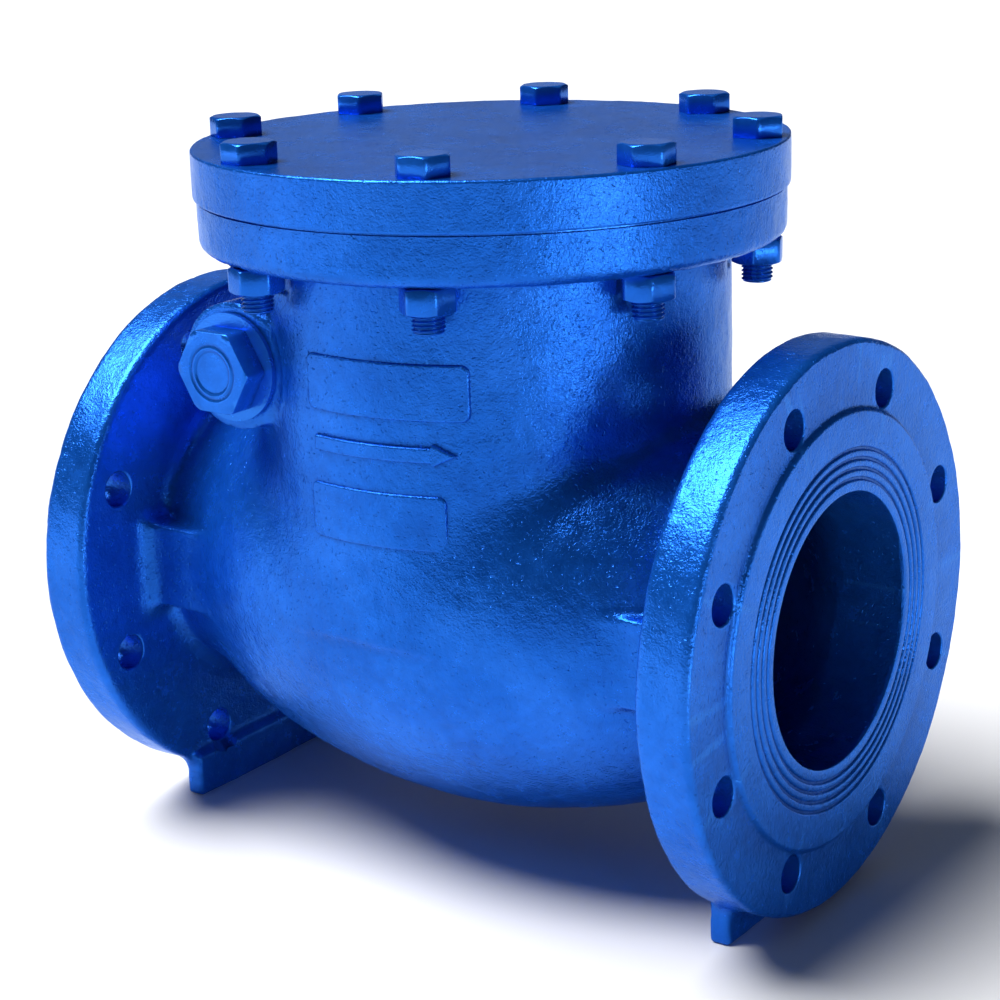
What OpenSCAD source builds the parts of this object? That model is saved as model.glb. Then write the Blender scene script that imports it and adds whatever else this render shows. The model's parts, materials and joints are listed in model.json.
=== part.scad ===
// Swing check valve with flanged ends and a bolted top cover.
// The flow runs along +X, the cover is at +Z, and the hinge pin lies along Y.
// The origin is on the ground between the two feet, below the middle of the body.

/* [End flanges] */
// Distance between the two flange faces
face_to_face = 495; // [490:5:520]
// Outside diameter of an end flange
flange_d = 350; // [348:1:352]
// Thickness of an end flange, with its raised face
flange_t = 38; // [36:1:40]
// Bolt circle diameter of an end flange
flange_pcd = 295; // [292:1:298]
// Number of bolt holes in an end flange
flange_bolts = 8; // [8]
// Diameter of a flange bolt hole
flange_hole_d = 23; // [21:1:24]
// Diameter of the raised sealing face
raised_face_d = 266; // [262:1:268]
// Diameter of the waterway
port_d = 168; // [164:1:170]

/* [Body] */
// Height of the pipe axis above the ground
axis_h = 180; // [178:1:184]
// Outside diameter of the belly at its widest
belly_d = 304; // [302:1:306]
// Radius of the belly's long curve
belly_curve_r = 375; // [370:1:380]
// Outside diameter of the pipe stub behind a flange
stub_d = 194; // [192:1:200]
// Outside diameter of the upright neck at its top
neck_top_d = 298; // [297:1:299]
// Outside diameter of the upright neck at the pipe axis
neck_low_d = 301; // [300.5:0.5:301.5]
// Wall thickness of the casting
wall = 12; // [11:1:13]

/* [Cover joint] */
// Height of the body's top face above the pipe axis
top_face_h = 250; // [250:1:254]
// Diameter of the body's cover flange
top_flange_d = 367; // [366:1:370]
// Thickness of the body's cover flange
top_flange_t = 30; // [28:1:32]
// Diameter of the cover
cover_d = 372; // [370:1:376]
// Thickness of the cover
cover_t = 30; // [28:1:34]
// Bolt circle diameter of the cover
cover_pcd = 332; // [331:1:334]
// Number of cover bolts
cover_bolts = 8; // [8]
// Thickness of the gasket under the cover
gasket_t = 1.5; // [1:0.5:2]

/* [Hinge and disc] */
// Distance of the hinge pin from the body's middle, towards the inlet
hinge_x = 105; // [104:1:107]
// Height of the hinge pin above the pipe axis
hinge_h = 150; // [149:1:152]
// Diameter of the hinge pin
pin_d = 22; // [20:1:23]
// Diameter of the disc
disc_d = 196; // [194:1:198]
// Largest opening angle of the disc
open_angle = 75; // [74:1:75]

/* [Hidden] */
$fn = 96;

paint_blue = [0.07, 0.28, 0.78];
raw_iron = [0.22, 0.23, 0.25];
bronze = [0.72, 0.52, 0.26];
bright_steel = [0.74, 0.75, 0.77];
black_rubber = [0.06, 0.06, 0.07];
eps = 0.5;

// ends and ports
end_x = face_to_face / 2;
raised_face_t = 3;
flange_back_x = end_x - flange_t;
port_r = port_d / 2;
stub_r = stub_d / 2;
rim_round = 6;
stub_fillet = 12;
groove_count = 4;
groove_pitch = 6;
groove_depth = 1.2;
first_groove_r = 91;
outlet_hole_extra = 0.4;
hole_run_in = 15;

// belly and neck
belly_r = belly_d / 2;
cavity_r = belly_r - wall;
cavity_curve_r = belly_curve_r - wall;
neck_top_r = neck_top_d / 2;
neck_low_r = neck_low_d / 2;
neck_bore_r = neck_top_r - wall;
neck_fillet = 8;

// cover joint
cover_r = cover_d / 2;
top_flange_r = top_flange_d / 2;
cover_bolt_r = cover_pcd / 2;
cover_under_h = top_face_h + gasket_t;
cover_top_h = cover_under_h + cover_t;
spigot_r = neck_bore_r - 0.5;
spigot_t = 5;
cover_low_edge = 1.5;
cover_top_edge = 2;
first_bolt_angle = 22.5;

// cover bolts and nuts, thread size 20 with heads and nuts 30 across the flats
bolt_r = 10;
bolt_hole_r = 11;
bolt_af = 30;
head_t = 12.5;
nut_t = 16;
thread_stick_out = 12;
thread_pitch = 2.5;
thread_depth = 1.3;
nut_top_h = top_face_h - top_flange_t;
bolt_tip_h = nut_top_h - nut_t - thread_stick_out;

// seat
seat_x = -150;
seat_r = port_r + 12;
seat_depth = 12;
seat_proud = 3;
seat_face_x = seat_x + seat_proud;
fit_gap = 0.05;
rest_gap = 0.3;

// disc, measured along the flow from the seat face
disc_r = disc_d / 2;
facing_t = 5.7;
facing_inner_r = port_r - 2.5;
disc_front_x = seat_face_x + rest_gap + facing_t;
disc_t = 13;
disc_back_x = disc_front_x + disc_t;
disc_hub_r = 30;
disc_hub_t = 10;
stud_base_x = disc_back_x + disc_hub_t;
stud_r = 12;
eye_t = 18;
eye_r = 27;
eye_start_x = stud_base_x + rest_gap;
eye_end_x = eye_start_x + eye_t;
disc_washer_t = 4;
disc_washer_x = eye_end_x + rest_gap;
disc_nut_af = 36;
disc_nut_t = 19;
disc_nut_x = disc_washer_x + disc_washer_t;
split_pin_r = 2;
split_pin_x = disc_nut_x + disc_nut_t - 4;
stud_tip_x = disc_nut_x + disc_nut_t + 3;

// hinge
pin_r = pin_d / 2;
pin_half = 100;
hub_r = 21;
hub_half = 52;
bush_wall = 3;
arm_bush_r = pin_r + fit_gap + bush_wall;
boss_r = 40;
boss_face_y = 133;
boss_root_y = 60;
inner_boss_r = 26;
inner_boss_y = hub_half + 2;
pin_bush_r = 15;
plug_thread_r = 20;
plug_thread_end_y = 104;
plug_washer_r = 34;
plug_washer_t = 3;
plug_af = 50;
plug_head_t = 17;
heel_length = 28;
heel_half_t = 8;
heel_half_w = 14;
ledge_tip_x = -hinge_x - hub_r - 1.5;
ledge_t = 14;
web_t = 14;

// side lugs and feet
lug_reach_y = 115;
lug_half_h = 28;
lug_inner_x = 152;
foot_near_x = 204;
foot_far_x = 218;
foot_half_y = 84;
foot_t = 30;

// flow arrow and blank pads on the front of the neck
mark_proud = 2.5;
pad_proud = 1.4;
arrow_tail_x = -28;
arrow_tip_x = 67;
arrow_h = 116;
arrow_half_w = 5;
arrow_head_length = 14;
pad_left_x = -34;
upper_pad = [108, 34, 136];
lower_pad = [94, 34, 57];

// ---- helpers ----

// Turns a shape that stands along Z so that it lies along +X.
module along_x() {
    rotate([0, 90, 0]) children();
}

// Turns a shape that stands along Z so that it lies along -Y.
module along_front() {
    rotate([90, 0, 0]) children();
}

// Puts children on the pipe axis.
module at_axis() {
    translate([0, 0, axis_h]) children();
}

// Puts children on the hinge pin's axis.
module at_hinge() {
    translate([-hinge_x, 0, axis_h + hinge_h]) children();
}

// Copies children to both ends of the valve.
module both_ends() {
    children();
    mirror([1, 0, 0]) children();
}

// Copies children to the front and the rear.
module both_sides() {
    children();
    mirror([0, 1, 0]) children();
}

// Spaces count copies of children evenly around Z on radius r.
module ring_of(count, r, first = first_bolt_angle) {
    for (i = [0:count - 1])
        rotate([0, 0, first + i * 360 / count])
            translate([r, 0, 0]) children();
}

// A disc standing on Z = 0 whose two rims are rounded.
module round_disc(r, h, low, high) {
    rotate_extrude() {
        translate([0, low]) square([r, h - low - high]);
        square([r - max(low, high), h]);
        square([r - low, low + eps]);
        translate([r - low, low]) circle(r = low);
        translate([0, h - high - eps]) square([r - high, high + eps]);
        translate([r - high, h - high]) circle(r = high);
    }
}

// A ring that fills the corner between a post of radius r and a flat face at Z = 0.
module corner_fillet(r, size) {
    rotate_extrude()
        difference() {
            translate([r - eps, -eps]) square([size + eps, size + eps]);
            translate([r + size, size]) circle(r = size);
        }
}

// A barrel along X, bulging on an arc, cut off flat at +-half.
module barrel(peak_r, curve_r, half) {
    along_x()
        rotate_extrude()
            intersection() {
                translate([peak_r - curve_r, 0]) circle(r = curve_r, $fn = 360);
                translate([0, -half]) square([peak_r, 2 * half]);
            }
}

// A hexagonal prism on Z = 0 with one or both ends chamfered by a cone.
module hex_block(af, h, low_chamfer, high_chamfer) {
    corner_r = af / 2 / cos(30);
    flat_r = af / 2 - 0.6;
    outer_r = corner_r + eps;
    rise = (outer_r - flat_r) * 0.55;
    intersection() {
        cylinder(r = corner_r, h = h, $fn = 6);
        rotate_extrude()
            polygon([
                [0, 0],
                [low_chamfer ? flat_r : outer_r, 0],
                [outer_r, low_chamfer ? rise : 0],
                [outer_r, high_chamfer ? h - rise : h],
                [high_chamfer ? flat_r : outer_r, h],
                [0, h]
            ]);
    }
}

// ---- body casting ----

module end_flange() {
    at_axis() along_x() {
        translate([0, 0, flange_back_x])
            round_disc(flange_d / 2, flange_t - raised_face_t, rim_round, rim_round);
        translate([0, 0, end_x - raised_face_t - eps])
            cylinder(d = raised_face_d, h = raised_face_t + eps);
        translate([0, 0, flange_back_x])
            mirror([0, 0, 1]) corner_fillet(stub_r, stub_fillet);
    }
}

module side_lug() {
    translate([lug_inner_x, -lug_reach_y, axis_h - lug_half_h])
        cube([flange_back_x - lug_inner_x + eps, 2 * lug_reach_y, 2 * lug_half_h]);
}

module foot() {
    translate([foot_near_x, -foot_half_y, 0])
        cube([foot_far_x - foot_near_x, 2 * foot_half_y, foot_t]);
}

module neck() {
    at_axis() {
        cylinder(r1 = neck_low_r, r2 = neck_top_r, h = nut_top_h + eps);
        translate([0, 0, nut_top_h]) {
            round_disc(top_flange_r, top_flange_t, neck_fillet, 1.5);
            mirror([0, 0, 1]) corner_fillet(neck_top_r, neck_fillet);
        }
    }
}

module hinge_boss() {
    at_hinge() along_front()
        translate([0, 0, boss_root_y]) cylinder(r = boss_r, h = boss_face_y - boss_root_y);
}

// Keeps only what stands proud of the neck's front by the given height.
module on_neck_front(proud) {
    intersection() {
        at_axis() cylinder(r1 = neck_low_r + proud, r2 = neck_top_r + proud, h = nut_top_h);
        at_axis() along_front() linear_extrude(neck_low_r + 2 * proud) children();
    }
}

module flow_arrow() {
    neck_x = arrow_tip_x - arrow_head_length;
    on_neck_front(mark_proud)
        translate([0, arrow_h])
            polygon([
                [arrow_tail_x, -arrow_half_w],
                [neck_x, -arrow_half_w],
                [neck_x, -arrow_half_w - 2],
                [arrow_tip_x, 0],
                [neck_x, arrow_half_w + 2],
                [neck_x, arrow_half_w],
                [arrow_tail_x, arrow_half_w]
            ]);
}

module blank_pad(size) {
    on_neck_front(pad_proud)
        translate([pad_left_x, size[2]]) square([size[0], size[1]]);
}

module body_outside() {
    at_axis() barrel(belly_r, belly_curve_r, flange_back_x - 4);
    at_axis() along_x() cylinder(r = stub_r, h = 2 * (flange_back_x + eps), center = true);
    both_ends() {
        end_flange();
        side_lug();
        foot();
    }
    neck();
    both_sides() hinge_boss();
    flow_arrow();
    blank_pad(upper_pad);
    blank_pad(lower_pad);
}

module cavity() {
    at_axis() {
        intersection() {
            barrel(cavity_r, cavity_curve_r, flange_back_x);
            translate([seat_x, -belly_r, -belly_r]) cube([2 * belly_r + 60, 2 * belly_r, 2 * belly_r]);
        }
        cylinder(r = neck_bore_r, h = top_face_h + eps);
        along_x() translate([0, 0, -end_x - eps]) cylinder(r = port_r, h = 2 * (end_x + eps));
        along_x() translate([0, 0, seat_x - seat_depth]) cylinder(r = seat_r + fit_gap, h = seat_depth + eps);
    }
}

// One flange's ring of bolt holes, opened up by extra_d.
module flange_holes(extra_d = 0) {
    at_axis() along_x()
        ring_of(flange_bolts, flange_pcd / 2)
            translate([0, 0, flange_back_x - hole_run_in]) cylinder(d = flange_hole_d + extra_d, h = end_x);
}

module face_grooves() {
    at_axis() along_x()
        translate([0, 0, end_x - groove_depth])
            rotate_extrude()
                for (i = [0:groove_count - 1])
                    translate([first_groove_r + i * groove_pitch, 0]) square([2, groove_depth + eps]);
}

module cover_bolt_holes() {
    at_axis()
        translate([0, 0, nut_top_h - eps])
            ring_of(cover_bolts, cover_bolt_r) cylinder(r = bolt_hole_r, h = top_flange_t + cover_t + 10);
}

// Flat seats for the nuts on the underside of the body's cover flange.
module nut_seats() {
    at_axis()
        translate([0, 0, nut_top_h - nut_t])
            ring_of(cover_bolts, cover_bolt_r) cylinder(r = bolt_af / 2 + 3, h = nut_t);
}

module hinge_bores() {
    at_hinge() along_front() {
        cylinder(r = pin_bush_r + fit_gap, h = 2 * boss_face_y, center = true);
        for (side = [0, 180])
            rotate([side, 0, 0]) {
                translate([0, 0, plug_thread_end_y - 2]) cylinder(r = plug_thread_r + fit_gap, h = 40);
                translate([0, 0, boss_face_y]) cylinder(r = boss_r + 1, h = 40);
            }
    }
}

// Bosses inside the neck that carry the pin next to the arm.
module inner_bosses() {
    intersection() {
        at_hinge()
            both_sides() along_front()
                translate([0, 0, inner_boss_y]) cylinder(r = inner_boss_r, h = boss_root_y);
        at_axis() cylinder(r = neck_bore_r + 3, h = top_face_h);
    }
}

// A ledge on the neck's inner wall that the arm's heel lands on when the disc is open.
module stop_ledge() {
    intersection() {
        translate([-neck_top_r, -heel_half_w, axis_h + hinge_h - heel_half_t - rest_gap - ledge_t])
            cube([ledge_tip_x + neck_top_r, 2 * heel_half_w, ledge_t]);
        at_axis() cylinder(r = neck_bore_r + 3, h = top_face_h);
    }
}

module body() {
    color(paint_blue)
        difference() {
            union() {
                difference() {
                    body_outside();
                    cavity();
                }
                inner_bosses();
                stop_ledge();
            }
            // the outlet's holes are drilled a little wider, to tell them from the inlet's on the same axes
            flange_holes(outlet_hole_extra);
            mirror([1, 0, 0]) flange_holes();
            both_ends() face_grooves();
            cover_bolt_holes();
            nut_seats();
            hinge_bores();
        }
}

// ---- seat and cover ----

module seat_ring() {
    color(bronze)
        at_axis() along_x()
            translate([0, 0, seat_x - seat_depth])
                difference() {
                    cylinder(r = seat_r, h = seat_depth + seat_proud);
                    translate([0, 0, -eps]) cylinder(r = port_r, h = seat_depth + seat_proud + 2 * eps);
                }
}

module cover() {
    color(paint_blue)
        difference() {
            at_axis() {
                translate([0, 0, cover_under_h]) round_disc(cover_r, cover_t, cover_low_edge, cover_top_edge);
                translate([0, 0, cover_under_h - spigot_t]) cylinder(r = spigot_r, h = spigot_t + eps);
            }
            cover_bolt_holes();
        }
}

module cover_gasket() {
    color(black_rubber)
        difference() {
            at_axis() translate([0, 0, top_face_h])
                difference() {
                    cylinder(r = top_flange_r - 2, h = gasket_t);
                    translate([0, 0, -eps]) cylinder(r = neck_bore_r + 0.5, h = gasket_t + 2 * eps);
                }
            cover_bolt_holes();
        }
}

module cover_bolt(i) {
    shank_h = cover_top_h - bolt_tip_h;
    thread_turns = 16;
    color(paint_blue)
        at_axis()
            rotate([0, 0, first_bolt_angle + (i - 1) * 360 / cover_bolts])
                translate([cover_bolt_r, 0, 0]) {
                    translate([0, 0, cover_top_h])
                        rotate([0, 0, 37 * i]) hex_block(bolt_af, head_t, false, true);
                    translate([0, 0, bolt_tip_h])
                        rotate_extrude()
                            difference() {
                                square([bolt_r, shank_h + eps]);
                                translate([bolt_r, 0]) rotate([0, 0, 45]) square(3, center = true);
                                for (turn = [1:thread_turns])
                                    translate([bolt_r, turn * thread_pitch])
                                        polygon([[-thread_depth, 0], [eps, 1.2], [eps, -1.2]]);
                            }
                }
}

module cover_nut(i) {
    color(paint_blue)
        at_axis()
            rotate([0, 0, first_bolt_angle + (i - 1) * 360 / cover_bolts])
                translate([cover_bolt_r, 0, nut_top_h - nut_t])
                    difference() {
                        rotate([0, 0, 30]) hex_block(bolt_af, nut_t, true, true);
                        translate([0, 0, -eps]) cylinder(r = bolt_r + fit_gap, h = nut_t + 2 * eps);
                    }
}

// ---- hinge pin and what holds it ----

module hinge_pin() {
    color(bright_steel)
        at_hinge() along_front()
            cylinder(r = pin_r, h = 2 * pin_half, center = true);
}

module front_pin_bush() {
    color(bronze)
        at_hinge() along_front()
            translate([0, 0, inner_boss_y])
                difference() {
                    cylinder(r = pin_bush_r, h = plug_thread_end_y - 2 - inner_boss_y);
                    translate([0, 0, -eps]) cylinder(r = pin_r + fit_gap, h = boss_face_y);
                }
}

module rear_pin_bush() {
    mirror([0, 1, 0]) front_pin_bush();
}

module front_plug_washer() {
    color(paint_blue)
        at_hinge() along_front()
            translate([0, 0, boss_face_y])
                difference() {
                    cylinder(r = plug_washer_r, h = plug_washer_t);
                    translate([0, 0, -eps]) cylinder(r = plug_thread_r + 0.3, h = plug_washer_t + 2 * eps);
                }
}

module rear_plug_washer() {
    mirror([0, 1, 0]) front_plug_washer();
}

module front_pin_plug() {
    head_y = boss_face_y + plug_washer_t;
    dimple_r = 13;
    color(paint_blue)
        at_hinge() along_front()
            difference() {
                union() {
                    translate([0, 0, plug_thread_end_y])
                        cylinder(r = plug_thread_r, h = head_y - plug_thread_end_y + eps);
                    translate([0, 0, head_y]) hex_block(plug_af, plug_head_t, false, true);
                }
                translate([0, 0, head_y + plug_head_t - 1.5]) cylinder(r = dimple_r, h = 3);
            }
}

module rear_pin_plug() {
    mirror([0, 1, 0]) front_pin_plug();
}

// ---- swinging arm ----

// Direction in which the heel points while the disc is shut, so that it lies flat on the ledge when open.
module at_heel() {
    at_hinge() rotate([0, -(180 - open_angle), 0]) children();
}

module hinge_arm() {
    web_top_half = 36;
    web_low_half = 20;
    color(raw_iron)
        difference() {
            union() {
                at_hinge() along_front() cylinder(r = hub_r, h = 2 * hub_half, center = true);
                at_axis() along_x() translate([0, 0, eye_start_x]) cylinder(r = eye_r, h = eye_t);
                translate([eye_start_x + (eye_t - web_t) / 2, 0, axis_h])
                    rotate([90, 0, 90])
                        linear_extrude(web_t)
                            polygon([
                                [-web_low_half, 0],
                                [web_low_half, 0],
                                [web_top_half, hinge_h],
                                [-web_top_half, hinge_h]
                            ]);
                at_heel()
                    translate([0, -heel_half_w, -heel_half_t])
                        cube([heel_length, 2 * heel_half_w, 2 * heel_half_t]);
            }
            at_hinge() along_front() cylinder(r = arm_bush_r + fit_gap, h = 4 * hub_half, center = true);
            at_axis() along_x()
                translate([0, 0, eye_start_x - eps]) cylinder(r = stud_r + fit_gap, h = eye_t + 2 * eps);
        }
}

module arm_bush() {
    color(bronze)
        at_hinge() along_front()
            difference() {
                cylinder(r = arm_bush_r, h = 2 * hub_half, center = true);
                cylinder(r = pin_r + fit_gap, h = 3 * hub_half, center = true);
            }
}

// ---- disc ----

module disc() {
    color(raw_iron)
        difference() {
            at_axis() along_x() {
                translate([0, 0, disc_front_x]) round_disc(disc_r, disc_t, 1, 4);
                translate([0, 0, seat_face_x - 1])
                    cylinder(r = facing_inner_r, h = disc_front_x - seat_face_x + 2);
                translate([0, 0, disc_back_x - eps]) cylinder(r = disc_hub_r, h = disc_hub_t + eps);
                translate([0, 0, stud_base_x - eps]) cylinder(r = stud_r, h = stud_tip_x - stud_base_x + eps);
            }
            translate([split_pin_x, 0, axis_h])
                cylinder(r = split_pin_r + 0.1, h = 4 * stud_r, center = true);
        }
}

module disc_facing() {
    color(black_rubber)
        at_axis() along_x()
            translate([0, 0, seat_face_x + rest_gap])
                difference() {
                    cylinder(r = disc_r - 1, h = facing_t);
                    translate([0, 0, -eps]) cylinder(r = facing_inner_r, h = facing_t + 2 * eps);
                }
}

module disc_washer() {
    color(bright_steel)
        at_axis() along_x()
            translate([0, 0, disc_washer_x])
                difference() {
                    cylinder(r = disc_nut_af / 2 + 4, h = disc_washer_t);
                    translate([0, 0, -eps]) cylinder(r = stud_r + 0.5, h = disc_washer_t + 2 * eps);
                }
}

// A slotted nut, with three slots across it for the split pin.
module disc_nut() {
    slot_w = 5;
    slot_depth = 7;
    color(bright_steel)
        at_axis() along_x()
            translate([0, 0, disc_nut_x])
                difference() {
                    hex_block(disc_nut_af, disc_nut_t, false, true);
                    translate([0, 0, -eps]) cylinder(r = stud_r + fit_gap, h = disc_nut_t + 2 * eps);
                    for (turn = [0, 60, 120])
                        rotate([0, 0, turn])
                            translate([-disc_nut_af, -slot_w / 2, disc_nut_t - slot_depth])
                                cube([2 * disc_nut_af, slot_w, slot_depth + eps]);
                }
}

module disc_split_pin() {
    eye_ring_r = 4.5;
    pin_half_length = disc_nut_af / 2 + 5;
    color(bright_steel)
        translate([split_pin_x, 0, axis_h]) {
            cylinder(r = split_pin_r, h = 2 * pin_half_length, center = true);
            translate([0, 0, pin_half_length + eye_ring_r - 1])
                along_front()
                    rotate_extrude() translate([eye_ring_r - 1, 0]) circle(r = 1.4, $fn = 24);
        }
}

body();
seat_ring();
cover();
cover_gasket();
hinge_pin();
front_pin_bush();
rear_pin_bush();
front_pin_plug();
rear_pin_plug();
front_plug_washer();
rear_plug_washer();
hinge_arm();
arm_bush();
disc();
disc_facing();
disc_washer();
disc_nut();
disc_split_pin();
for (i = [1:cover_bolts])
    cover_bolt(i);
for (i = [1:cover_bolts])
    cover_nut(i);
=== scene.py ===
"""Looks of the swing check valve: a rough blue-enamelled casting with its fasteners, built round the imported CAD.

Lengths inside the mesh code are millimetres, measured from the pipe axis (x along the flow, z up).
"""

import json
import math

import bpy
import numpy as np
from mathutils import Matrix, Vector


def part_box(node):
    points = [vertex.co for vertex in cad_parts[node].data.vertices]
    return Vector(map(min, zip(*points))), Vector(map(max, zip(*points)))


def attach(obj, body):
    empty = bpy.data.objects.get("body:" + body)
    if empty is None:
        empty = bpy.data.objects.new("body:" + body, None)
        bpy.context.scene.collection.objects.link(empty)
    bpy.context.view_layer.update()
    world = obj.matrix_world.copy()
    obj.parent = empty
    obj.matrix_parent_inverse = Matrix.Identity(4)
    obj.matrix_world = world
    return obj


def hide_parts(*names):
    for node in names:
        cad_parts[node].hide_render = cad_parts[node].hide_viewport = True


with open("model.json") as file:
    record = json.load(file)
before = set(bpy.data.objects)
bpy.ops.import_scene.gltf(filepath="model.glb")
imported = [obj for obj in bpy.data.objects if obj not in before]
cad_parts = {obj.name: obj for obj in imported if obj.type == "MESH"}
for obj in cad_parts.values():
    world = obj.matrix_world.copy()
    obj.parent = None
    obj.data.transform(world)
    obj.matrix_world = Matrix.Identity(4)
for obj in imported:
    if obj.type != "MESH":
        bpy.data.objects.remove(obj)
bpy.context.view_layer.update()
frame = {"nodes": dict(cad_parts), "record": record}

MM = 0.001


# ---------------------------------------------------------------- sizes taken from the frame

def mount(name):
    return next(m for m in frame["record"]["mounts"] if m["name"] == name)


def joint(name):
    return next(j for j in frame["record"]["behaviour"]["joints"] if j["name"] == name)


def box_mm(node):
    """A node's lowest and highest corners in millimetres from the pipe axis."""
    low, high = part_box(node)
    return (np.array(low) - AXIS) / MM, (np.array(high) - AXIS) / MM


AXIS = np.array([0.0, 0.0, mount("outlet_bolts")["pos_m"][2]])
BODY_LOW, BODY_HIGH = box_mm("body")
COVER_LOW, COVER_HIGH = box_mm("cover")
GASKET_LOW, GASKET_HIGH = box_mm("cover_gasket")
WASHER_LOW, WASHER_HIGH = box_mm("front_plug_washer")
PLUG_LOW = box_mm("front_pin_plug")[0]
BOLT_LOW, BOLT_HIGH = box_mm("cover_bolt_1")
NUT_LOW, NUT_HIGH = box_mm("cover_nut_1")
HINGE = (np.array(joint("flap_swing")["pos_m"]) - AXIS) / MM

# end flanges
FACE_X = BODY_HIGH[0]
FLANGE_R = 175.0
FLANGE_T = 38.0
RAISED_R = 133.0
RIM_EDGE = 5.0
RAISED_T = 3.0
PORT_R = 84.0
FLANGE_HOLES = mount("outlet_bolts")["dims"]["count"]
FLANGE_HOLE_R = {1: mount("outlet_bolts")["dims"]["hole_r_mm"], -1: mount("inlet_bolts")["dims"]["hole_r_mm"]}
FLANGE_BOLT_R = mount("outlet_bolts")["dims"]["pcd_mm"] / 2
STUB_R = 97.0
GROOVES_R = (92, 98, 104, 110)
BACK_X = FACE_X - FLANGE_T
FOOT_X = mount("outlet_foot")["pos_m"][0] / MM
FOOT_HALF_X = 7.0
FOOT_HALF_Y = 84.0
FOOT_HEIGHT = 30.0

# belly and neck
BELLY_R = 152.0
BELLY_CURVE_R = 375.0
BELLY_HALF = 208.0
WALL = 12.0
NECK_LOW_R = 150.5
NECK_TOP_R = 149.0
NECK_BORE_R = NECK_TOP_R - WALL
TOP_FACE = BODY_HIGH[2]
TOP_FLANGE_R = 183.5
NUT_TOP = NUT_HIGH[2]
SEAT_X = -150.0
SEAT_POCKET_R = 96.05

# flow arrow, and the blank pads above and below it as (x, z) corners
ARROW_TAIL, ARROW_TIP, ARROW_Z = -28.0, 67.0, 116.0
ARROW_PROUD = 3.0
PADS = (((-34, 136), (74, 170)), ((-34, 57), (60, 91)))
PAD_CORNER_R = 5.0
PAD_PROUD = 1.5

# cover and its bolts
COVER_R = COVER_HIGH[0]
COVER_BOTTOM = GASKET_HIGH[2]
COVER_TOP = COVER_HIGH[2]
COVER_BOLT_R = 166.0
COVER_BOLTS = 8
COVER_HOLE_R = 11.0
BOLT_ACROSS_FLATS = 30.0
FIRST_BOLT = math.radians(22.5)
THREAD_R = 10.0
NUT_SECTOR = 2 * math.pi / COVER_BOLTS
NUT_SEAT_R = 18.6

# hinge boss
BOSS_R = 40.0
BOSS_FACE = -WASHER_HIGH[1]
PIN_BUSH_R = 15.0
PLUG_THREAD_R = 20.0
PLUG_THREAD_END = 104.0
PLUG_ACROSS_FLATS = 50.0
PLUG_SEAT_END = PLUG_THREAD_END - 2
INNER_BOSS_HALF_GAP = 54.0


# ---------------------------------------------------------------- noise

def lattice(ix, iy, iz, seed):
    """A repeatable random number from -1 to 1 for each whole-number point."""
    h = (ix * 374761393 + iy * 668265263 + iz * 2147483647 + seed * 1274126177) & 0xFFFFFFFF
    h = ((h ^ (h >> 13)) * 1274126177) & 0xFFFFFFFF
    h = (h ^ (h >> 16)) & 0xFFFF
    return h.astype(np.float32) / 32767.5 - 1.0


def noise(p, size, seed):
    """Smooth noise from -1 to 1 whose bumps are about size across."""
    q = np.asarray(p, dtype=np.float64) / size + 1000.0
    base = np.floor(q).astype(np.int64)
    f = (q - base).astype(np.float32)
    w = f * f * (3 - 2 * f)
    total = np.zeros(len(q), dtype=np.float32)
    for dx in (0, 1):
        for dy in (0, 1):
            for dz in (0, 1):
                corner = lattice(base[:, 0] + dx, base[:, 1] + dy, base[:, 2] + dz, seed)
                weight = w[:, 0] if dx else 1 - w[:, 0]
                weight = weight * (w[:, 1] if dy else 1 - w[:, 1])
                weight = weight * (w[:, 2] if dz else 1 - w[:, 2])
                total += corner * weight
    return total


def casting_relief(p):
    """Height of the sand-cast skin over the true surface: broad waves, grain, and a few sunk pits."""
    waves = 0.35 * noise(p, 42, 1) + 0.22 * noise(p, 17, 2)
    grain = 0.13 * noise(p, 7, 3) + 0.10 * noise(p, 4.2, 4)
    pits = np.clip(noise(p, 9, 5) - 0.55, 0, None) * np.clip(noise(p, 60, 6) + 0.3, 0, None)
    return waves + grain - 1.2 * pits


# ---------------------------------------------------------------- distance fields (negative inside)

def smooth_union(a, b, size):
    """Joins two fields with a fillet about size wide."""
    h = np.clip(size - np.abs(a - b), 0, None) / size
    return np.minimum(a, b) - h * h * size * 0.25


def smooth_max(a, b, size):
    """The overlap of two fields, with its edge rounded."""
    return -smooth_union(-a, -b, size)


def round_disc_field(along, r, start, end, radius, edge):
    half = (end - start) / 2
    qa = np.abs(along - (start + end) / 2) - half + edge
    qr = r - radius + edge
    outside = np.hypot(np.maximum(qa, 0), np.maximum(qr, 0))
    return outside + np.minimum(np.maximum(qa, qr), 0) - edge


def block_field(x, y, z, low, high, edge):
    qx = np.abs(x - (low[0] + high[0]) / 2) - (high[0] - low[0]) / 2 + edge
    qy = np.abs(y - (low[1] + high[1]) / 2) - (high[1] - low[1]) / 2 + edge
    qz = np.abs(z - (low[2] + high[2]) / 2) - (high[2] - low[2]) / 2 + edge
    outside = np.sqrt(np.maximum(qx, 0) ** 2 + np.maximum(qy, 0) ** 2 + np.maximum(qz, 0) ** 2)
    return outside + np.minimum(np.maximum(qx, np.maximum(qy, qz)), 0) - edge


def barrel_field(x, r, peak, curve, half):
    return np.maximum(np.hypot(x, r + (curve - peak)) - curve, np.abs(x) - half)


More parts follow.
